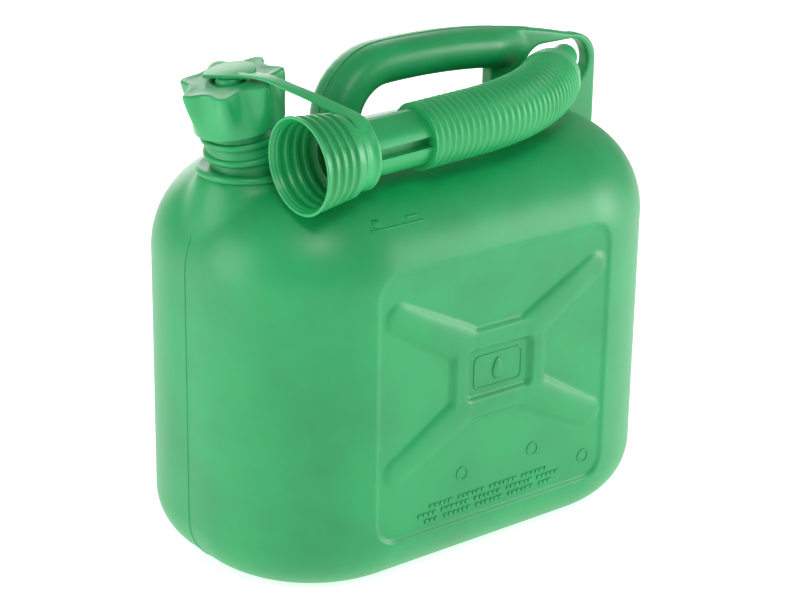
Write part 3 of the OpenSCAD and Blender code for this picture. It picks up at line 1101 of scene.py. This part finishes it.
@dataclass
class ScrewCap:
    """Seven-lobed screw cap.

    Attributes:
        material: plastic of the cap.
        liner: foam of its sealing disc; not used.
    """

    material: bpy.types.Material
    liner: bpy.types.Material
    start: float = 21.0
    height: float = 22.3
    rim: float = 21.4
    valley: float = 19.6
    tip: float = 24.9
    lobes: int = 7
    phase: float = 20.2
    bore: float = 19.4
    recess: float = 9.2
    hub: float = 6.9

    def outer(self, angle: float, t: float) -> float:
        """Outer radius at an angle, from the round rim (t 0) to the lobed top (t 1)."""
        wave = 0.5 + 0.5 * math.cos(self.lobes * (angle - math.radians(self.phase)))
        lobed = self.valley + (self.tip - self.valley) * wave**1.7
        return self.rim + (lobed - self.rim) * float(smooth(0.08 + 0.95 * t))

    def build(self) -> list[bpy.types.Object]:
        """Makes the cap."""
        n = 210
        h = self.height
        rows: list[Callable[[float], tuple[float, float]]] = []
        floor = h - 5.0
        rows.append(lambda a: (0.0, floor))
        for s in (floor, 0.6):
            rows.append(lambda a, s=s: (self.bore - (0.6 if s == floor else 0), s))
        rows.append(lambda a: (self.bore + 0.2, 0.0))
        rows.append(lambda a: (self.rim - 0.7, 0.0))
        rows.append(lambda a: (self.rim - 0.15, 0.35))
        rows.append(lambda a: (self.rim, 1.0))
        for t in np.linspace(0.08, 0.94, 16):
            rows.append(lambda a, t=t: (self.outer(a, t), t * h))
        edge = 1.3
        for d in (15, 35, 55, 75, 90):
            c, s = math.cos(math.radians(d)), math.sin(math.radians(d))
            rows.append(lambda a, c=c, s=s: (self.outer(a, 1) - edge * (1 - c), h - edge + edge * s))
        for k in (0.82, 0.6, 0.3, 0.06):
            rows.append(
                lambda a, k=k: (
                    self.recess + 0.6 + (self.outer(a, 1) - edge - self.recess - 0.6) * k,
                    h - 0.35 * math.sin(math.pi * k),
                )
            )
        for r, s in (
            (self.recess, h - 0.5),
            (self.recess - 0.2, h - 1.7),
            (self.recess - 0.7, h - 2.0),
            (self.hub + 0.5, h - 2.0),
            (self.hub, h - 1.6),
            (self.hub, h - 0.5),
            (self.hub - 0.5, h - 0.35),
            (self.hub - 0.6, h + 0.5),
            (self.hub - 1.1, h + 0.9),
            (2.9, h + 0.9),
            (2.6, h + 0.6),
            (2.6, h - 3.0),
        ):
            rows.append(lambda a, r=r, s=s: (r, s))
        rows.append(lambda a: (0.0, h - 3.0))
        points: list[tuple[float, float, float]] = []
        index: list[list[int]] = []
        for row in rows:
            if row(0.0)[0] == 0.0:
                index.append([len(points)] * n)
                points.append((0.0, 0.0, row(0.0)[1]))
                continue
            index.append(list(range(len(points), len(points) + n)))
            for k in range(n):
                a = 2 * math.pi * k / n
                r, s = row(a)
                points.append((r * math.cos(a), r * math.sin(a), s))
        faces: list[list[int]] = []
        for low, high in zip(index, index[1:]):
            for k in range(n):
                m = (k + 1) % n
                corners = [low[k], low[m], high[m], high[k]]
                face = [c for i, c in enumerate(corners) if c != corners[i - 1]]
                if len(face) > 2:
                    faces.append(face)
        cap = mesh_object("screw_cap_lobed", NECK.place(np.array(points), self.start), faces)
        crease(cap, 60)
        cap.data.materials.append(self.material)
        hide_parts("screw_cap")
        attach(cap, "cap")
        return [cap]


@dataclass
class Tether:
    """Flat strap with an eye on the cap and a ring on the spout.

    Attributes:
        material: plastic of the tether.
    """

    material: bpy.types.Material
    width: float = 8.4
    thickness: float = 1.5
    eye_radius: float = 12.4
    eye_start: float = 44.6
    eye_cut: float = 4.0
    eye_cut_angle: float = 207.0
    ring_from: float = 24.2
    ring_to: float = 33.4
    ring_radius: float = 17.95
    ring_bore: float = 16.6
    route: list[tuple[float, float, float]] = field(
        default_factory=lambda: [
            (-101.5, -6.0, 243.5),
            (-99.8, -10.0, 243.8),
            (-97.7, -16.9, 244.1),
            (-95.6, -22.8, 243.6),
            (-92.9, -30.0, 241.5),
            (-89.2, -36.0, 239.6),
            (-85.2, -42.0, 237.2),
            (-81.1, -47.0, 234.2),
            (-77.3, -50.6, 232.0),
            (-75.0, -52.0, 231.2),
            (-74.7, -56.5, 230.6),
            (-74.6, -60.8, 228.7),
            (-74.6, -63.6, 225.2),
        ]
    )

    def smooth_route(self, steps: int = 72) -> np.ndarray:
        """Route resampled along a smooth spline."""
        points = np.array(self.route)
        run = np.r_[0, np.cumsum(np.linalg.norm(np.diff(points, axis=0), axis=1))]
        spots = np.linspace(0, run[-1], steps)
        path = np.column_stack([np.interp(spots, run, points[:, i]) for i in range(3)])
        for _ in range(24):
            path[1:-1] = (path[:-2] + 2 * path[1:-1] + path[2:]) / 4
        return path

    def strap(self, name: str, path: np.ndarray, first: float, last: float) -> bpy.types.Object:
        """Flat strap with rounded edges along part of the route.

        Args:
            name: piece name.
            path: its points.
            first: turn of its flat side at the start, in degrees about Z.
            last: the same at the end.

        Returns:
            The object.
        """
        way = np.gradient(path, axis=0)
        way /= np.linalg.norm(way, axis=1)[:, None]
        sections = []
        for i, point in enumerate(path):
            turn = math.radians(first + (last - first) * i / (len(path) - 1))
            across = np.array([math.cos(turn), math.sin(turn), 0.0])
            across -= way[i] * (across @ way[i])
            across /= np.linalg.norm(across)
            up = np.cross(across, way[i])
            up *= -1 if up[2] < 0 else 1
            ring = []
            for k in range(16):
                a = 2 * math.pi * k / 16
                u = math.copysign(abs(math.cos(a)) ** 0.35, math.cos(a)) * self.width / 2
                v = math.copysign(abs(math.sin(a)) ** 0.7, math.sin(a)) * self.thickness / 2
                ring.append(point + u * across + v * up)
            sections.append(np.array(ring))
        points, faces = loft(sections)
        strap = mesh_object(name, points, faces)
        recalculate(strap)
        crease(strap, 40)
        strap.data.materials.append(self.material)
        return strap

    def eye(self) -> bpy.types.Object:
        """Plate over the cap's recess, cut straight on the front, with the plug under it."""
        plan = []
        n = 96
        cut = math.radians(self.eye_cut_angle)
        reach = math.acos(self.eye_cut / self.eye_radius)
        for k in range(n + 1):
            a = cut + reach + (2 * math.pi - 2 * reach) * k / n
            plan.append((math.cos(a) * self.eye_radius, math.sin(a) * self.eye_radius))
        sections = []
        for shrink, s in ((0.35, 0.0), (0.0, 0.3), (0.0, 1.35), (0.15, 1.65), (0.5, 1.8)):
            k = 1 - shrink / self.eye_radius
            sections.append(
                NECK.place(np.array([(x * k, y * k, s) for x, y in plan]), self.eye_start)
            )
        plate = mesh_object("plate", *loft(sections))
        plug_profile = [(0.0, -3.8), (1.8, -3.8), (2.35, -3.2), (2.35, 0.4), (0.0, 0.4)]
        points, faces = revolve(plug_profile, 32)
        plug = mesh_object("plug", NECK.place(points, self.eye_start), faces)
        eye = join("tether_eye_plate", [plate, plug])
        crease(eye, 40)
        return eye

    def ring(self) -> bpy.types.Object:
        """Ring round the spout's collar, with a raised lip at each edge."""
        a, b, r = self.ring_from, self.ring_to, self.ring_radius
        profile = [(self.ring_bore, b), (self.ring_bore, a), (r - 0.5, a), (r, a + 0.5), (r, a + 1.9)]
        profile += [(r - 0.6, a + 2.5), (r - 0.6, b - 2.5), (r, b - 1.9), (r, b - 0.5), (r - 0.5, b)]
        points, faces = revolve(profile, 96, closed=True)
        return crease(mesh_object("tether_ring_band", SPOUT.place(points), faces), 50)

    def build(self) -> list[bpy.types.Object]:
        """Makes the eye, the strap's two halves and the ring."""
        path = self.smooth_route()
        middle = len(path) // 2
        near = self.strap("tether_strap_near", path[: middle + 1], 29.0, 14.5)
        far = self.strap("tether_strap_far", path[middle:], 14.5, 0.0)
        eye = self.eye()
        ring = self.ring()
        for piece in (eye, ring):
            piece.data.materials.append(self.material)
        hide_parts("tether_eye")
        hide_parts("tether_ring")
        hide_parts("tether_strap")
        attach(eye, "cap_carrier")
        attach(ring, "spout")
        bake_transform(near)
        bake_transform(far)
        return [eye, near, far, ring]


def recalculate(obj: bpy.types.Object) -> None:
    """Turns every face of a closed mesh outward."""
    import bmesh

    work = bmesh.new()
    work.from_mesh(obj.data)
    bmesh.ops.recalc_face_normals(work, faces=work.faces)
    work.to_mesh(obj.data)
    work.free()


# ---------------------------------------------------------------- the spout


@dataclass
class Spout:
    """Collar, stem, bellows and nozzle, stowed beside the handle.

    Attributes:
        rigid: plastic of the collar and stem.
        soft: plastic of the bellows and nozzle.
        gasket: elastomer of the sealing ring; not used.
    """

    rigid: bpy.types.Material
    soft: bpy.types.Material
    gasket: bpy.types.Material
    mouth: float = 22.8
    ridge_pitch: float = 4.6
    ridge_depth: float = 1.4
    wall: float = 1.4
    ring_from: float = 24.2
    collar_end: float = 34.5
    stem: float = 13.2
    bore: float = 8.0
    stem_end: float = 66.0
    straight: float = 34.0
    bend_radius: float = 111.0
    bend: float = 38.0
    crest: float = 15.9
    groove: float = 1.25
    pitch: float = 3.7
    nozzle_length: float = 48.0
    shoulder: float = 14.5
    shoulder_centre: float = 10.4
    tip: float = 7.0

    def ridged(self, shift: float) -> Profile:
        """Wavy wall of the collar from its mouth inward, moved in by shift."""
        out = []
        for s in np.linspace(1.6, 20.6, 77):
            wave = 0.5 - 0.5 * math.cos(2 * math.pi * (s - 1.6) / self.ridge_pitch)
            depth = self.ridge_depth * smooth(wave * 1.25 - 0.1) * (1 if s < 20.0 else 0.3)
            out.append((self.mouth - 0.25 - 0.12 * s - float(depth) - shift, float(s)))
        return out

    def collar(self) -> bpy.types.Object:
        """Threaded collar, open at the mouth, closed to the stem at its rear."""
        seat = 16.5
        outer = arc(self.mouth - 0.55, 0.6, 0.55, 270, 360, 5) + self.ridged(0.0)
        outer += [(19.8, 22.8), (19.4, self.ring_from - 0.7), (seat, self.ring_from - 0.6), (seat, self.collar_end - 0.8)]
        outer += [(seat - 0.8, self.collar_end), (self.bore, self.collar_end)]
        inner = [(self.bore, self.collar_end - self.wall), (seat - self.wall, self.collar_end - self.wall)]
        inner += [(seat - self.wall, 22.2)] + [
            (self.mouth - 0.12 * s - self.wall - 0.75 - 0.3 * (self.mouth - 0.25 - 0.12 * s - r), s)
            for r, s in reversed(self.ridged(0.0))
        ]
        inner += [(self.mouth - 1.5, 1.0), (self.mouth - 1.3, 0.2)]
        points, faces = revolve(outer + inner, 128, closed=True)
        return crease(mesh_object("spout_collar_ridged", SPOUT.place(points), faces), 50)

    def stem_tube(self) -> bpy.types.Object:
        """Stem with a flat on top, a deep slot each side and a rounded lower lip."""
        ring: list[tuple[float, float]] = []
        slot_half = math.degrees(math.asin(2.5 / self.stem))
        for base in (177.0, -3.0):
            floor = self.stem - 5.0
            edge = math.radians(base - slot_half)
            far = math.radians(base + slot_half)
            way = (math.cos(math.radians(base)), math.sin(math.radians(base)))
            side = (-way[1], way[0])
            ring.append((math.cos(edge) * self.stem, math.sin(edge) * self.stem))
            ring.append((way[0] * floor - side[0] * 2.5, way[1] * floor - side[1] * 2.5))
            ring.append((way[0] * floor + side[0] * 2.5, way[1] * floor + side[1] * 2.5))
            ring.append((math.cos(far) * self.stem, math.sin(far) * self.stem))
            span = 180 - 2 * slot_half
            for k in range(1, 24):
                a = base + slot_half + span * k / 24
                flat = abs(((a + 360) % 360) - 118) < 40
                r = self.stem
                if flat:
                    r = min(r, 11.9 / math.cos(math.radians(((a + 360) % 360) - 118)))
                ring.append((math.cos(math.radians(a)) * r, math.sin(math.radians(a)) * r))
        sections = []
        for s in (self.collar_end - 0.2, 40.0, 50.0, 60.0, self.stem_end + 8.0):
            local = np.array([(-z, y, s) for y, z in ring])
            sections.append(SPOUT.place(local))
        stem = mesh_object("spout_stem_grooved", *loft(sections))
        recalculate(stem)
        return crease(stem, 30)

    def spine(self) -> np.ndarray:
        """Middle line of the bellows in the row frame."""
        local = [(0.0, 0.0, s) for s in np.linspace(self.stem_end + 0.2, self.stem_end + self.straight, 30)]
        for a in np.linspace(0, math.radians(self.bend), 60)[1:]:
            local.append(
                (0.0, self.bend_radius * (1 - math.cos(a)), self.stem_end + self.straight + self.bend_radius * math.sin(a))
            )
        return SPOUT.place(np.array(local))

    def bellows(self) -> bpy.types.Object:
        """Ringed flexible tube, swept along its spine with a radius that waves."""
        spine = self.spine()
        length = float(np.linalg.norm(np.diff(spine, axis=0), axis=1).sum())
        rings = round(length / self.pitch)
        tree = NodeTree(
            "bellows_rings",
            {
                "Rings": ("NodeSocketFloat", float(rings)),
                "Crest radius": ("NodeSocketFloat", self.crest * MM),
                "Groove depth": ("NodeSocketFloat", self.groove * MM),
                "Steps per length": ("NodeSocketInt", rings * 12 + 1),
            },
        )
        curve = tree.node("GeometryNodeMeshToCurve", links={0: tree.start.outputs[0]})
        even = tree.node(
            "GeometryNodeResampleCurve", links={"Curve": curve.outputs[0], "Count": tree.input("Steps per length")}
        )
        factor = tree.node("GeometryNodeSplineParameter").outputs["Factor"]
        turns = tree.maths("MULTIPLY", tree.maths("MULTIPLY", factor, tree.input("Rings")), 2 * math.pi)
        wave = tree.maths("MULTIPLY_ADD", tree.node("ShaderNodeMath", links={0: turns}, operation="COSINE").outputs[0], 0.5)
        tree.tree.nodes[-1].inputs[2].default_value = 0.5
        sharp = tree.maths("POWER", wave, 1.9)
        radius = tree.maths(
            "SUBTRACT",
            tree.input("Crest radius"),
            tree.maths("MULTIPLY", tree.input("Groove depth"), tree.maths("SUBTRACT", 1.0, sharp)),
        )
        circle = tree.node("GeometryNodeCurvePrimitiveCircle", {"Resolution": 96, "Radius": 1.0})
        swept = tree.node(
            "GeometryNodeCurveToMesh",
            {"Fill Caps": True},
            {"Curve": even.outputs[0], "Profile Curve": circle.outputs[0], "Scale": radius},
        )
        shaded = tree.node("GeometryNodeSetShadeSmooth", links={0: swept.outputs[0]})
        return tree.finish(shaded.outputs[0], self.soft, polyline("bellows_spine", spine), "spout_bellows_rings")

    def nozzle(self) -> bpy.types.Object:
        """Rounded shoulder that narrows to the pouring tip."""
        end = SPOUT.place(
            np.array(
                [
                    (
                        0.0,
                        self.bend_radius * (1 - math.cos(math.radians(self.bend))),
                        self.stem_end + self.straight + self.bend_radius * math.sin(math.radians(self.bend)),
                    )
                ]
            )
        )[0]
        frame = Axis.spout(tuple(end), 2.3, self.bend)
        outer: Profile = [(self.crest - 0.1, 0.0), (self.crest - 0.3, 5.0)]
        outer += arc(0.0, self.shoulder_centre, self.shoulder, 8, 44, 14)
        outer += [(9.4, 23.0), (9.0, 26.0), (self.tip + 0.5, 42.0), (self.tip, self.nozzle_length - 0.4)]
        outer += [(self.tip - 0.4, self.nozzle_length)]
        inner = [(self.tip - 1.3, self.nozzle_length), (self.tip - 1.4, 24.0), (8.6, 20.0), (12.0, 12.0), (14.0, 0.0)]
        points, faces = revolve(outer + inner, 96, closed=True)
        return crease(mesh_object("spout_nozzle_cone", frame.place(points), faces), 60)

    def build(self) -> list[bpy.types.Object]:
        """Makes every spout piece; the gasket stays from the frame."""
        collar, stem, bellows, nozzle = self.collar(), self.stem_tube(), self.bellows(), self.nozzle()
        for piece, material, node, slot in (
            (collar, self.rigid, "spout_collar", "spout_plastic"),
            (stem, self.rigid, "spout_stem", "spout_plastic"),
            (nozzle, self.soft, "spout_nozzle", "flexible_plastic"),
        ):
            piece.data.materials.append(material)
            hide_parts(node)
        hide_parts("spout_bellows")
        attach(collar, "spout")
        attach(stem, "spout")
        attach(nozzle, "nozzle")
        spine = self.spine()
        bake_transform(bellows)
        return [collar, stem, bellows, nozzle]


# ---------------------------------------------------------------- studio


@dataclass
class Studio:
    """Plain white floor, soft lights and the camera."""

    distance: float = 1133.7
    azimuth: float = -38.9
    elevation: float = 20.5
    target: tuple[float, float, float] = (-2.7, -0.2, 111.4)
    roll: float = 0.97
    lens: float = 102.6

    def floor(self) -> None:
        """Broad pale floor."""
        mesh = bpy.data.meshes.new("floor")
        s = 6.0
        mesh.from_pydata([(-s, -s, 0), (s, -s, 0), (s, s, 0), (-s, s, 0)], [], [(0, 1, 2, 3)])
        obj = bpy.data.objects.new("floor", mesh)
        bpy.context.collection.objects.link(obj)
        material = bpy.data.materials.new("paper_white")
        material.use_nodes = True
        tree = material.node_tree
        tree.nodes.clear()
        surface = add_node(
            tree,
            "ShaderNodeBsdfPrincipled",
            inputs={
                "Base Color": linear("#f4f5f4"),
                "Roughness": 0.7,
                "Emission Color": linear("#ffffff"),
                "Emission Strength": 0.7,
            },
        )
        add_node(tree, "ShaderNodeOutputMaterial", links={"Surface": surface.outputs["BSDF"]})
        mesh.materials.append(material)

    def light(self, name: str, place: tuple[float, float, float], size: float, watts: float) -> None:
        """One soft square light that points at the can.

        Args:
            name: its name.
            place: position in metres.
            size: side of the square in metres.
            watts: power.
        """
        data = bpy.data.lights.new(name, "AREA")
        data.energy = watts
        data.size = size
        obj = bpy.data.objects.new(name, data)
        obj.location = place
        aim = Vector((0, 0, 0.1)) - Vector(place)
        obj.rotation_euler = aim.to_track_quat("-Z", "Y").to_euler()
        bpy.context.collection.objects.link(obj)

    def camera(self) -> None:
        """Camera at the viewing angle."""
        az, el = math.radians(self.azimuth), math.radians(self.elevation)
        back = Vector((math.sin(az) * math.cos(el), -math.cos(az) * math.cos(el), math.sin(el)))
        right = Vector((math.cos(az), math.sin(az), 0))
        up = back.cross(right)
        roll = math.radians(self.roll)
        r2 = right * math.cos(roll) + up * math.sin(roll)
        u2 = up * math.cos(roll) - right * math.sin(roll)
        eye = (Vector(self.target) + back * self.distance) * MM
        data = bpy.data.cameras.new("camera")
        data.lens = self.lens
        data.sensor_width = 36.0
        data.clip_start = 0.05
        camera = bpy.data.objects.new("camera", data)
        rotation = Matrix((r2, u2, back)).transposed().to_4x4()
        camera.matrix_world = Matrix.Translation(eye) @ rotation
        bpy.context.collection.objects.link(camera)
        bpy.context.scene.camera = camera

    def build(self) -> None:
        """Sets the whole studio up."""
        self.floor()
        self.light("key", (1.7, -1.3, 0.5), 0.9, 26)
        self.light("left", (-1.9, 0.5, 0.5), 1.2, 18)
        self.light("rear", (0.7, 1.8, 0.7), 1.3, 18)
        self.light("front", (-0.8, -1.3, 1.6), 0.45, 12)
        world = bpy.data.worlds.new("studio")
        world.use_nodes = True
        background = world.node_tree.nodes["Background"]
        background.inputs["Color"].default_value = (1, 1, 1, 1)
        background.inputs["Strength"].default_value = 0.45
        bpy.context.scene.world = world
        bpy.context.scene.view_settings.view_transform = "Standard"
        self.camera()


def main() -> None:
    """Builds the looks in order."""
    logging.basicConfig(level=logging.INFO, format="%(message)s")
    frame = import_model()
    tank = TANK_HDPE.build()
    cap = CAP_HDPE.build()
    rigid = SPOUT_HDPE.build()
    soft = SOFT_LDPE.build()
    gasket = GASKET.build()
    liner = LINER.build()
    for node, material in (("spout_gasket", gasket), ("cap_seal", liner)):
        mesh = frame["nodes"][node].data
        mesh.materials.clear()
        mesh.materials.append(material)
    groups = (
        TankShell(tank),
        TankNeck(tank),
        TankHandle(tank),
        ScrewCap(cap, liner),
        Tether(soft),
        Spout(rigid, soft, gasket),
    )
    for group in groups:
        for piece in group.build():
            LOG.info("%s: %d faces", piece.name, len(piece.data.polygons))
    Studio().build()


if __name__ == "__main__":
    main()
